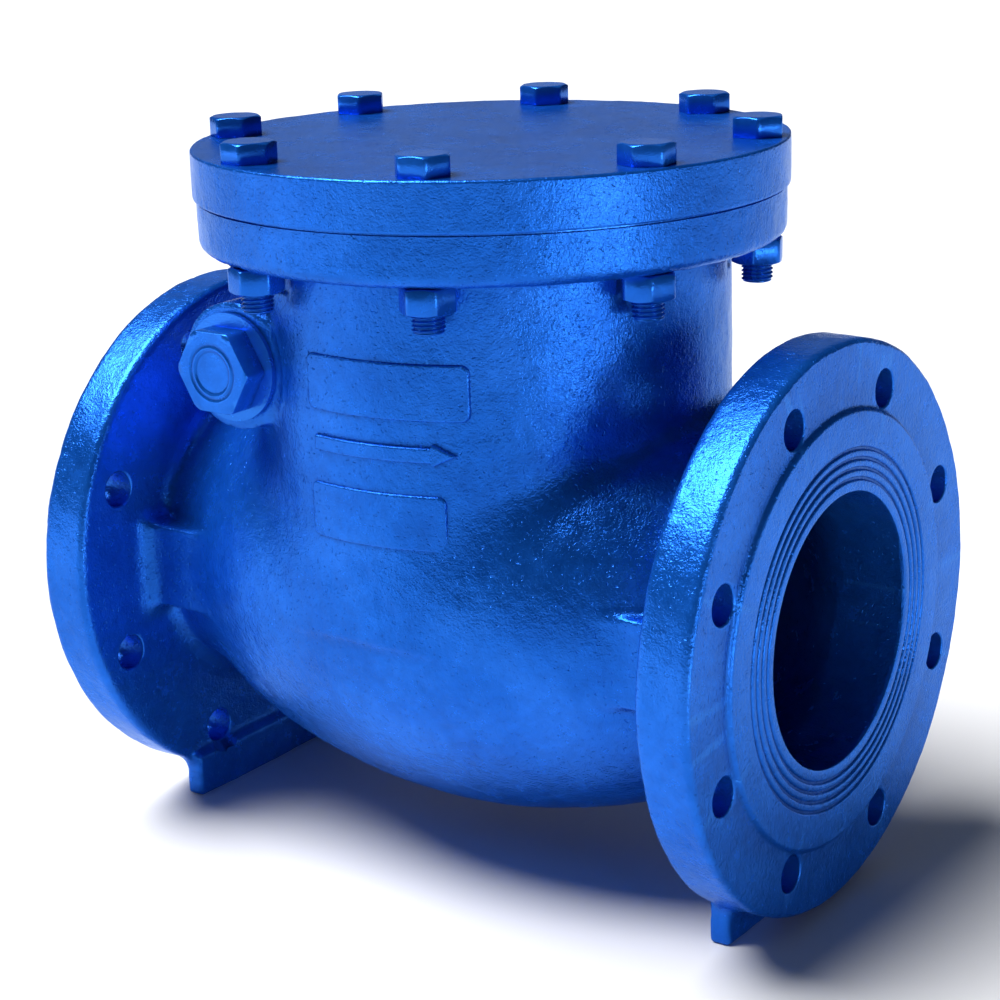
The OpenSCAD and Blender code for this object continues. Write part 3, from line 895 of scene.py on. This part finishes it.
def bolt_centre(i):
    angle = FIRST_BOLT + (i - 1) * 2 * math.pi / COVER_BOLTS
    return COVER_BOLT_R * np.array([math.cos(angle), math.sin(angle)])


def plug_piece(side, node):
    """Hinge-pin plug on the front (side -1) or rear (side 1)."""
    head, end = -WASHER_LOW[1], -PLUG_LOW[1]  # the rear is the front's mirror image
    place = Matrix.Translation((HINGE[0], 0, HINGE[2])) @ Matrix.Rotation(math.radians(-90 * side), 4, "X")
    rings = [circle_ring(r, PLUG_THREAD_END, HEX_COUNT) for r in (6, 17)]
    rings += [circle_ring(PLUG_THREAD_R, z, HEX_COUNT) for z in (PLUG_THREAD_END + 2, head)]
    rings += hex_cap(PLUG_ACROSS_FLATS, head, end, False, 0.6, 0.4, 27.0)
    for r in np.arange(23.0, 1.2, -0.6):
        rings.append(circle_ring(r, end, HEX_COUNT))
    verts, faces = ring_mesh(rings)
    r = np.hypot(verts[:, 0], verts[:, 1])
    on_top = verts[:, 2] > end - 0.05
    ring = np.clip(1 - np.abs(r - 17) / 1.4, 0, 1)
    bowl = np.clip((14.5 - r) / 1.5, 0, 1)
    sunk = 0.8 * ring + bowl  # a plain dimple, with no mark in it
    verts[on_top, 2] -= sunk[on_top]
    verts[on_top, 2] = np.minimum(verts[on_top, 2], end)
    verts = turned(verts, place)
    piece = new_piece(node.replace("pin_", ""), verts, faces, MATERIALS["enamel_smooth"])
    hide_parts(node)
    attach(piece, "valve_body")


def build_fasteners():
    for i in range(1, COVER_BOLTS + 1):
        bolt_piece(i)
        nut_piece(i)
    plug_piece(-1, "front_pin_plug")
    plug_piece(1, "rear_pin_plug")


# ---------------------------------------------------------------- CAD nodes that keep their shape

NODE_MATERIALS = {
    "front_plug_washer": "enamel_smooth", "rear_plug_washer": "enamel_smooth",
    "seat_ring": "bronze", "arm_bush": "bronze", "front_pin_bush": "bronze", "rear_pin_bush": "bronze",
    "disc_facing": "rubber",
    "hinge_pin": "steel", "disc_washer": "steel", "disc_nut": "steel", "disc_split_pin": "steel",
    "hinge_arm": "bare_iron", "disc": "bare_iron",
}


def paint_nodes():
    for name, material in NODE_MATERIALS.items():
        data = frame["nodes"][name].data
        data.materials.clear()
        data.materials.append(MATERIALS[material])


# ---------------------------------------------------------------- camera, lights and floor

CAMERA_AT = Vector((0.8359, -1.1626, 0.4692 + AXIS[2]))
CAMERA_RIGHT = Vector((0.816, 0.577, -0.029))
CAMERA_BACK = Vector((0.560, -0.778, 0.284))
LENS = 82.7
WALL_LIGHT = 1.0
ROOM_LIGHT = 0.05


def camera():
    back = CAMERA_BACK.normalized()
    up = back.cross(CAMERA_RIGHT).normalized()
    right = up.cross(back)
    data = bpy.data.cameras.new("camera")
    data.lens = LENS
    data.sensor_width = 36
    data.clip_end = 50
    cam = bpy.data.objects.new("camera", data)
    turn = Matrix((right, up, back)).transposed()
    cam.matrix_world = Matrix.Translation(CAMERA_AT) @ turn.to_4x4()
    bpy.context.collection.objects.link(cam)
    bpy.context.scene.camera = cam


def away_from_valve(azimuth, elevation):
    """Direction from the valve to a light. Azimuth 0 stands in front (-Y), -90 at the inlet end."""
    a, e = math.radians(azimuth), math.radians(elevation)
    return Vector((math.sin(a) * math.cos(e), -math.cos(a) * math.cos(e), math.sin(e)))


def overhead_light(azimuth, elevation, strength, width):
    """The main light, far away and width degrees across, which lights the whole floor evenly."""
    data = bpy.data.lights.new("key", "SUN")
    data.energy = strength
    data.angle = math.radians(width)
    light = bpy.data.objects.new("key", data)
    light.rotation_mode = "QUATERNION"
    light.rotation_quaternion = away_from_valve(azimuth, elevation).to_track_quat("Z", "Y")
    bpy.context.collection.objects.link(light)


def softbox(name, azimuth, elevation, distance, width, height, power):
    """An area light that looks at the valve."""
    target = Vector((0, 0, 0.22))
    away = away_from_valve(azimuth, elevation)
    data = bpy.data.lights.new(name, "AREA")
    data.shape = "RECTANGLE"
    data.size, data.size_y = width, height
    data.energy = power
    light = bpy.data.objects.new(name, data)
    light.location = target + away * distance
    light.rotation_mode = "QUATERNION"
    light.rotation_quaternion = away.to_track_quat("Z", "Y")
    bpy.context.collection.objects.link(light)


def stage():
    floor_mesh = bpy.data.meshes.new("floor")
    half = 12.0
    corners = [(-half, -half, 0), (half, -half, 0), (half, half, 0), (-half, half, 0)]
    floor_mesh.from_pydata(corners, [], [(0, 1, 2, 3)])
    material, tree = node_tree("pale_floor")
    shader = add(tree, "ShaderNodeBsdfPrincipled", Roughness=0.6)
    shader.inputs["Base Color"].default_value = (0.74, 0.74, 0.75, 1)
    output = tree.nodes.new("ShaderNodeOutputMaterial")
    tree.links.new(shader.outputs["BSDF"], output.inputs["Surface"])
    floor_mesh.materials.append(material)
    floor = bpy.data.objects.new("floor", floor_mesh)
    bpy.context.collection.objects.link(floor)

    world = bpy.data.worlds.new("studio")
    world.use_nodes = True
    tree = world.node_tree
    tree.nodes.clear()
    # a bright wall behind the object, and a dimmer room for what lights it
    wall = add(tree, "ShaderNodeBackground", Color=(1, 1, 1, 1), Strength=WALL_LIGHT)
    room = add(tree, "ShaderNodeBackground", Color=(0.55, 0.76, 1, 1), Strength=ROOM_LIGHT)
    path = tree.nodes.new("ShaderNodeLightPath")
    mix = tree.nodes.new("ShaderNodeMixShader")
    tree.links.new(path.outputs["Is Camera Ray"], mix.inputs[0])
    tree.links.new(room.outputs[0], mix.inputs[1])
    tree.links.new(wall.outputs[0], mix.inputs[2])
    output = tree.nodes.new("ShaderNodeOutputWorld")
    tree.links.new(mix.outputs[0], output.inputs["Surface"])
    bpy.context.scene.world = world
    bpy.context.scene.view_settings.view_transform = "Standard"

    overhead_light(-60, 63, 6.2, 38)
    softbox("front_left", -40, 0, 2.2, 1.6, 0.3, 3)
    softbox("back_left", -144, 20, 2.6, 2.4, 1.0, 2.5)
    softbox("outlet_side", 75, -2, 2.4, 1.2, 0.2, 11)


camera()
stage()
body_casting()
cover_piece()
gasket_piece()
build_fasteners()
paint_nodes()
